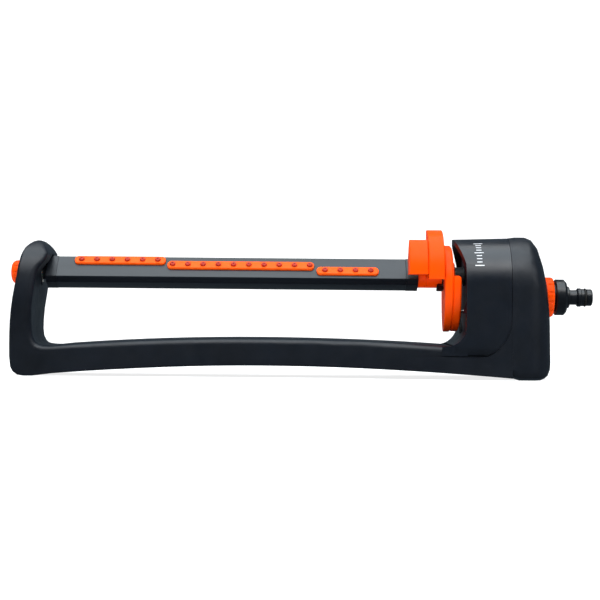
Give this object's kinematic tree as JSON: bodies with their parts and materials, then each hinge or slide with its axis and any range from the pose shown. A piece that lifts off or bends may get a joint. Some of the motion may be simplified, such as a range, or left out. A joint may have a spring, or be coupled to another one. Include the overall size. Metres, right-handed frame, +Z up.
{
  "type": "oscillating sprinkler",
  "caption": "Oscillating lawn sprinkler: a swinging spray bar with rows of nozzles, driven by a water motor in a drum on a moulded arched base, with range levers, flow ring and hose nipple.",
  "frame": {"origin": "on the ground below the middle of the sprinkler", "axes": "+X along the spray bar towards the hose nipple, +Y to the back, +Z up"},
  "size_m": [0.5393, 0.1028, 0.1369],
  "materials": {
    "base_plastic": "satin black moulded plastic with a fine texture",
    "drum_plastic": "satin black moulded plastic",
    "bar_plastic": "semi-gloss black extruded plastic",
    "cap_plastic": "satin black moulded plastic",
    "fitting_plastic": "satin black moulded plastic",
    "orange_plastic": "semi-gloss orange moulded plastic",
    "strip_plastic": "satin orange moulded plastic",
    "nozzle_rubber": "soft red-orange rubber",
    "grey_plastic": "satin dark grey moulded plastic",
    "acetal": "natural acetal",
    "pinion_brass": "turned brass",
    "steel": "stainless steel",
    "rubber": "black nitrile rubber",
    "filter_plastic": "pale moulded plastic screen"
  },
  "bodies": {
    "base": {"base_frame": "base_plastic", "end_housing": "base_plastic", "drum_shell": "drum_plastic", "motor_cover": "orange_plastic", "stop_lug": "fitting_plastic", "gearbox_case": "grey_plastic", "gearbox_lid": "grey_plastic", "spindle_bush": "acetal", "spindle_oring": "rubber", "layshaft_pin": "steel", "jet_plate": "grey_plastic", "trip_pin": "steel", "trip_spring": "steel", "inlet_nipple": "fitting_plastic", "nipple_oring": "rubber", "inlet_filter": "filter_plastic", "inlet_seal": "rubber", "pivot_bush": "acetal", "housing_screws": "steel"},
    "spray_bar": {"spray_tube": "bar_plastic", "tube_cap_left": "cap_plastic", "tube_cap_right": "cap_plastic", "strip_left": "strip_plastic", "strip_middle": "strip_plastic", "strip_right": "strip_plastic", "nozzles": "nozzle_rubber", "output_spindle": "grey_plastic", "output_gear": "acetal"},
    "lever_a": {"range_lever_a": "orange_plastic"},
    "lever_b": {"range_lever_b": "orange_plastic"},
    "plug": {"cleaning_plug": "orange_plastic", "cleaning_needle": "steel", "plug_oring": "rubber"},
    "regulator": {"flow_ring": "orange_plastic", "flow_valve": "grey_plastic"},
    "turbine": {"turbine_wheel": "acetal", "turbine_pinion": "pinion_brass", "turbine_shaft": "steel"},
    "layshaft": {"layshaft_gear": "acetal"},
    "diverter": {"trip_lever": "acetal"}
  },
  "joints": [
    {"name": "bar_swing", "type": "hinge", "parent": "base", "child": "spray_bar", "pos_m": [0, 0, 0.0946], "axis": [1, 0, 0], "range_deg": [-90, 0]},
    {"name": "lever_a_turn", "type": "hinge", "parent": "spray_bar", "child": "lever_a", "pos_m": [0.112, 0, 0.0946], "axis": [1, 0, 0], "range_deg": [-50, 20]},
    {"name": "lever_b_turn", "type": "hinge", "parent": "spray_bar", "child": "lever_b", "pos_m": [0.12, 0, 0.0946], "axis": [1, 0, 0], "range_deg": [-35, 33]},
    {"name": "plug_pull", "type": "slide", "parent": "spray_bar", "child": "plug", "axis": [-1, 0, 0], "range_m": [0, 0.05]},
    {"name": "flow_turn", "type": "hinge", "parent": "base", "child": "regulator", "pos_m": [0.228, 0, 0.0755], "axis": [1, 0, 0], "range_deg": [0, 90]},
    {"name": "layshaft_spin", "type": "hinge", "parent": "base", "child": "layshaft", "pos_m": [0.165, 0.01492, 0.08128], "axis": [1, 0, 0], "continuous": true},
    {"name": "turbine_spin", "type": "hinge", "parent": "base", "child": "turbine", "pos_m": [0.17, 0, 0.0755], "axis": [1, 0, 0], "continuous": true},
    {"name": "diverter_flip", "type": "hinge", "parent": "base", "child": "diverter", "pos_m": [0.1435, 0, 0.062], "axis": [1, 0, 0], "range_deg": [-12, 12]}
  ],
  "couplings": [
    {"joint": "layshaft_spin", "follows": "bar_swing", "ratio": -4},
    {"joint": "turbine_spin", "follows": "bar_swing", "ratio": 12}
  ]
}
